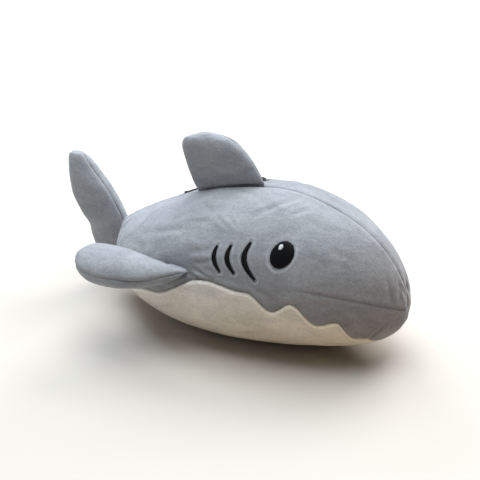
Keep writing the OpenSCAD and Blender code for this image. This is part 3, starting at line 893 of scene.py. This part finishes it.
tail_x, notch_z = -(L + ROOT_GAP) / MM, mid_height(-1) / MM + TAIL_NOTCH
tail_rows = [
    [tail_x + fx, 0, notch_z + h * lobe, tail_x + rx, 0, notch_z + h * lobe, half, 0]
    for lobe, rows in (
        (TAIL_UPPER, [(1, -65, -69, 2), (.97, -57, -79, 7.5), (.84, -45, -80.5, 13),
                      (.59, -24, -79.5, 17), (.34, -8, -75, 17), (.15, 1, -66, 16.5), (0, 7, -55, 16)]),
        (-TAIL_LOWER, [(.25, 9, -52, 15), (.55, 4, -45, 12.5), (.84, -12, -40, 9), (.97, -21, -37, 5),
                       (1, -26, -32, 2)]))
    for h, fx, rx, half in rows
]
tail = Fin(tail_rows, (0, -1, 0), 13, 0.85, both_tips=True)


def tip_folds(p):
    """Soft folds across a pectoral fin, stronger towards its tip."""
    x = p[:, 0]
    return 0.55 * MM * noise_along(x + 0.2 * p[:, 1], 0.011, 31) * ease((-0.06 - x) / 0.05)


# Each panel: its fin, side, whether it is mirrored to the left, seed, CAD nodes and extra relief.
fins = [
    ("dorsal_right", dorsal, 1, False, 41, ["dorsal_right_panel", "dorsal_stuffing"], None),
    ("dorsal_left", dorsal, -1, False, 42, ["dorsal_left_panel"], None),
    ("right_pectoral_upper", pectoral, 1, False, 43,
     ["right_pectoral_upper_panel", "right_pectoral_stuffing"], tip_folds),
    ("right_pectoral_lower", pectoral, -1, False, 44, ["right_pectoral_lower_panel"], tip_folds),
    ("left_pectoral_upper", pectoral, 1, True, 45,
     ["left_pectoral_upper_panel", "left_pectoral_stuffing"], tip_folds),
    ("left_pectoral_lower", pectoral, -1, True, 46, ["left_pectoral_lower_panel"], tip_folds),
    ("tail_right", tail, 1, False, 47, ["tail_right_panel", "tail_stuffing"], None),
    ("tail_left", tail, -1, False, 48, ["tail_left_panel"], None),
]

# Each fin's body, and where it would start to follow that body and follow it fully; nothing below uses
# them.
UP = np.array([-0.2711, 0, 0.9626])
HINGE = np.array([-0.03608, 0, 0.16673])
BLENDS = {
    "dorsal": ("dorsal_fin", HINGE + 0.0040 * UP, HINGE + 0.015 * UP),
    "right_pectoral": ("right_pectoral_fin", (-0.048, -0.101, 0.103), (-0.048, -0.122, 0.103)),
    "left_pectoral": ("left_pectoral_fin", (-0.048, 0.101, 0.103), (-0.048, 0.122, 0.103)),
    "tail": ("tail_fin", (-0.181, 0, 0.065), (-0.204, 0, 0.065)),
}
for name, fin, side, mirror, seed, nodes, extra in fins:
    piece = fin_piece(name, fin, side, seed, mirror, extra)
    body, start, end = BLENDS[name.rsplit("_", 1)[0]]
    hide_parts(*nodes)
    tuple(start)
    tuple(end)
    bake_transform(piece)


# ---- embroidery ----------------------------------------------------

def wrapped(rings, around, base=0):
    """Faces between rings of points, each ring closed on itself."""
    i, j = np.divmod(np.arange((rings - 1) * around), around)
    k = (j + 1) % around
    here, above = base + i * around, base + (i + 1) * around
    return np.stack([here + j, here + k, above + k, above + j], 1)


def tubes(paths, ups, half_width, half_height):
    """Points and faces of a tube along each path, closed at both ends."""
    sides, end_size = 6, 0.35
    points, faces, base = [], [], 0
    turn = 2 * np.pi * np.arange(sides) / sides
    for path, up in zip(paths, ups):
        ahead = unit(np.gradient(path, axis=0))
        across = unit(np.cross(ahead, up))
        above = np.cross(across, ahead)
        n = len(path)
        taper = np.ones(n)
        taper[0] = taper[-1] = end_size
        u, v = half_width * taper[:, None] * np.cos(turn), half_height * taper[:, None] * np.sin(turn)
        ring = path[:, None] + across[:, None] * u[..., None] + above[:, None] * v[..., None]
        points.append(ring.reshape(-1, 3))
        faces += wrapped(n, sides, base).tolist()
        faces.append(range(base + sides - 1, base - 1, -1))
        base += n * sides
        faces.append(range(base - sides, base))
    return np.vstack(points), faces


def pad(place, centre, half, tilt, low, high, rings=10, around=48):
    """A domed oval under the threads."""
    c, s = np.cos(np.radians(tilt)), np.sin(np.radians(tilt))
    angle = -2 * np.pi * np.arange(around) / around
    grid = []
    for f in [1.0, *np.sin(np.pi / 2 * np.arange(rings, 0, -1) / rings)]:
        lift = low + (high - low) * np.sqrt(max(0, 1 - f**2))
        x, y = f * half[0] * np.cos(angle), f * half[1] * np.sin(angle)
        t, a = from_place(place, centre[0] + x * c + y * s, centre[1] - x * s + y * c)
        grid.append(hide(t, a, lift)[0])
    points = np.vstack(grid)
    faces = wrapped(len(grid), around)[:, [0, 3, 2, 1]].tolist()
    faces += [range(len(points) - around, len(points)), range(around - 1, -1, -1)]
    return points, faces


def satin_oval(place, centre, half, tilt, pitch, base, dome, upright=True):
    """Threads laid side by side across an oval."""
    c, s = np.cos(np.radians(tilt)), np.sin(np.radians(tilt))
    wide, tall = half if upright else half[::-1]
    count = int(round(2 * wide / pitch))
    paths, ups = [], []
    for k in range(count):
        x = wide * (2 * (k + 0.5) / count - 1)
        reach = tall * np.sqrt(1 - (x / wide) ** 2) + draw.uniform(-0.15, 0.25) * MM
        y = np.linspace(-reach, reach, 15)
        bulge = np.sqrt(np.clip(1 - (x / wide) ** 2 - (0.98 * y / tall) ** 2, 0, 1))
        lift = base + dome * bulge
        lift[[0, -1]] = -0.25 * MM
        u, v = (x + 0 * y, y) if upright else (y, x + 0 * y)
        t, a = from_place(place, centre[0] + u * c + v * s, centre[1] - u * s + v * c)
        points, normals, _ = hide(t, a)
        paths.append(points + normals * lift[:, None])
        ups.append(normals)
    return tubes(paths, ups, 0.62 * pitch, 0.42 * pitch)


def joined(parts):
    points, faces, base = [], [], 0
    for p, f in parts:
        points.append(p)
        faces += [tuple(k + base for k in face) for face in f]
        base += len(p)
    return np.vstack(points), faces


def both_sides(name, points, faces, material, slot):
    """The same embroidery on the right and the left."""
    for side, mirror in (("right", 1), ("left", -1)):
        order = faces if mirror > 0 else [f[::-1] for f in faces]
        obj = keep_rest(new_object(f"{side}_{name}_threads", points * (1, mirror, 1), order, material))
        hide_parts(f"{side}_{name}")
        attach(obj, "torso")


eye = joined([
    pad(EYE_PLACE, (0, 0), EYE_SIZE * 0.97, EYE_TILT, -0.4 * MM, 0.9 * MM),
    satin_oval(EYE_PLACE, (0, 0), EYE_SIZE, EYE_TILT, 0.5 * MM, 0.3 * MM, 0.95 * MM),
])
both_sides("eye", *eye, BLACK, "black_thread")

glint_at = EYE_SIZE * (-0.28, 0.44)
glint = joined([
    pad(EYE_PLACE, glint_at, EYE_SIZE * 0.17, EYE_TILT, 0.6 * MM, 1.55 * MM, rings=5, around=28),
    satin_oval(EYE_PLACE, glint_at, EYE_SIZE * 0.19, EYE_TILT, 0.42 * MM, 1.35 * MM, 0.5 * MM,
               upright=False),
])
both_sides("eye_highlight", *glint, WHITE, "white_thread")


def gill_parts():
    """Each gill slit's threads, which slant across it and stand highest where it is widest."""
    for place, height, bow, stroke in GILLS:
        count = int(height / (0.42 * MM))
        paths, ups = [], []
        for k in range(count):
            s = (k + 0.5) / count
            u, v = gill_line(s, height, bow)
            du = -bow * np.pi * np.cos(np.pi * s) - GILL_LEAN * height
            ahead = unit(np.array([du, height]))
            side = np.array([ahead[1], -ahead[0]]) + 0.22 * ahead
            half = gill_half(s, stroke) + draw.uniform(-0.05, 0.12) * MM
            x = np.linspace(-half, half, 7)
            t, a = from_place(place, u + side[0] * x, v + side[1] * x)
            points, normals, _ = hide(t, a)
            dome = 0.8 * MM * min(1, half / (1.6 * MM))
            lift = 0.35 * MM + dome * np.sqrt(np.clip(1 - (x / half) ** 2, 0, 1))
            lift[[0, -1]] = -0.3 * MM
            paths.append(points + normals * lift[:, None])
            ups.append(normals)
        yield tubes(paths, ups, 0.27 * MM, 0.22 * MM)


both_sides("gill_slits", *joined(gill_parts()), BLACK, "black_thread")


# ---- zipper --------------------------------------------------------

def coil_teeth():
    """The interlocking teeth of the coil, with a cord under each side."""
    reach = ZIP_END - 3.0 * MM / ZIP_RADIUS
    pitch = 1.5 * MM / ZIP_RADIUS
    count = int(2 * reach / pitch)
    paths = []
    for k in range(count):
        for side in (-1, 1):
            angle = -reach + (k + 0.5 + 0.25 * side) * pitch
            f = np.linspace(0, 1, 7)
            across = side * (2.35 - 2.9 * f) * MM
            rise = (-0.9 + 1.25 * np.sin(np.pi * np.clip(f * 1.1, 0, 1)) ** 0.7 - 0.15 * f) * MM
            paths.append(zip_point(angle + 0 * f, across, rise))
    for side in (-1, 1):
        paths.append(zip_point(np.linspace(-reach, reach, 90), side * 2.45 * MM, -1.05 * MM))
    ups = [np.tile(ZIP_AXES[2], (len(path), 1)) for path in paths]
    return tubes(paths, ups, 0.42 * MM, 0.36 * MM)


coil = keep_rest(new_object("zipper_coil_teeth", *coil_teeth(), NYLON))
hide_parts("zipper_coil")
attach(coil, "torso")


def topstitch():
    """Short stitches along both folded edges of the zipper's opening."""
    count, first_t, length_t, half_t, offset = 41, -0.69, 0.7, 0.0052, 6.4
    lift = np.array([-0.3, 0.15, 0.3, 0.3, 0.15, -0.3]) * MM
    paths, ups = [], []
    for a in (ZIP_A + offset, ZIP_A - offset):
        for k in range(count):
            t = first_t + length_t * (k + 0.5) / count + np.linspace(-half_t, half_t, len(lift))
            points, normals, _ = hide(t, a)
            paths.append(points + normals * lift[:, None])
            ups.append(normals)
    return tubes(paths, ups, 0.3 * MM, 0.25 * MM)


grey_thread = thread("grey_thread", (0.20, 0.205, 0.225), 0.6, 0.2)
stitches = keep_rest(new_object("zipper_topstitch", *topstitch(), grey_thread))
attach(stitches, "torso")


def pocket_bag():
    """The lining bag: two faces that lie together with soft wrinkles."""
    n, m = 60, 30
    half_length, top, depth = 54 * MM, -13 * MM, 59.2 * MM
    x = np.linspace(-half_length, half_length, n)[:, None] + np.zeros((1, m))
    z = top - depth * np.linspace(0, 1, m)[None, :] + np.zeros((n, 1))
    flat = np.stack([x, 0 * x, z], -1)
    wave = 1.1 * MM * noise(flat.reshape(-1, 3), 0.018, 50).reshape(n, m)
    edge = np.minimum(np.minimum(x - x.min(), x.max() - x), np.minimum(z.max() - z, z - z.min()))
    half = 0.25 * MM + 0.6 * MM * ease(edge / 0.008)
    sides = [ZIP_CROWN + np.stack([x, wave + k * half, z], -1) @ ZIP_AXES for k in (1, -1)]
    return panel("pocket_bag", *sides, LINING)


bag = pocket_bag()
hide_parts("zipper_pocket")
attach(bag, "torso")

# These keep the CAD's own shapes.
for node, material in (
    ("zipper_tapes", TAPE), ("zipper_stops", METAL), ("zipper_slider", METAL), ("zipper_pull", METAL),
):
    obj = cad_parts[node]
    obj.data.materials.clear()
    obj.data.materials.append(material)
    if material is METAL:
        round_off = obj.modifiers.new("round_off", "BEVEL")
        round_off.width, round_off.segments, round_off.limit_method = 0.25 * MM, 2, "ANGLE"


# ---- floor, light and camera ---------------------------------------

FLOOR_RADIUS, FLOOR_SIDES = 3.0, 96
BODY_MIDDLE = (0, 0, 0.1)


def floor():
    """A round pale floor."""
    n = Nodes("pale_floor")
    cloud = n.noise(n.object_place(), 3, 2)
    n.link(n.ramp(cloud, (0.55, 0.495, 0.435), (0.59, 0.535, 0.475)), n.shader.inputs["Base Color"])
    n.shader.inputs["Roughness"].default_value = 0.9
    turn = np.linspace(0, 2 * np.pi, FLOOR_SIDES, endpoint=False)
    rim = FLOOR_RADIUS * np.stack([np.cos(turn), np.sin(turn), 0 * turn], 1)
    new_object("floor", rim, [range(len(rim))], n.material)


def turned_to(place, aim):
    """The rotation of a lamp or camera at a place that looks at aim."""
    return (Vector(place) - Vector(aim)).to_track_quat("Z", "Y").to_euler()


def lamp(name, place, size, power, colour):
    data = bpy.data.lights.new(name, "AREA")
    data.size, data.energy, data.color = size, power, colour
    obj = bpy.data.objects.new(name, data)
    obj.location = place
    obj.rotation_euler = turned_to(place, BODY_MIDDLE)
    bpy.context.scene.collection.objects.link(obj)


def studio():
    """A pale surround that adds only a little light of its own."""
    world = bpy.data.worlds.new("studio")
    world.use_nodes = True
    tree = world.node_tree
    fill = tree.nodes["Background"]
    fill.inputs["Color"].default_value = (0.95, 0.97, 1.0, 1)
    fill.inputs["Strength"].default_value = 0.05
    wall = tree.nodes.new("ShaderNodeBackground")
    wall.inputs["Color"].default_value = (0.70, 0.685, 0.665, 1)
    path = tree.nodes.new("ShaderNodeLightPath")
    mix = tree.nodes.new("ShaderNodeMixShader")
    tree.links.new(path.outputs["Is Camera Ray"], mix.inputs[0])
    tree.links.new(fill.outputs[0], mix.inputs[1])
    tree.links.new(wall.outputs[0], mix.inputs[2])
    tree.links.new(mix.outputs[0], tree.nodes["World Output"].inputs["Surface"])
    bpy.context.scene.world = world


floor()
# Each lamp: its place, size in metres, power in watts and colour.
lamp("window", (0.25, 2.07, 1.99), 1.8, 76, (0.94, 0.97, 1.0))
lamp("sky", (0, 0, 2.98), 2.5, 114, (0.88, 0.95, 1.0))
lamp("room", (-1.62, 1.08, 2.08), 1.8, 58, (0.74, 0.86, 1.0))
lamp("side", (-2.2, -1.4, 1.1), 1.7, 9, (0.80, 0.90, 1.0))
studio()
bpy.context.scene.view_settings.view_transform = "Standard"

CAMERA_PLACE, CAMERA_AIM = (0.4622, -0.8593, 0.5829), (-0.0248, 0.002, 0.101)
camera = bpy.data.cameras.new("camera")
camera.lens, camera.sensor_width = 70.9, 36      # both in mm
camera_object = bpy.data.objects.new("camera", camera)
camera_object.location = CAMERA_PLACE
camera_object.rotation_euler = turned_to(CAMERA_PLACE, CAMERA_AIM)
bpy.context.scene.collection.objects.link(camera_object)
bpy.context.scene.camera = camera_object
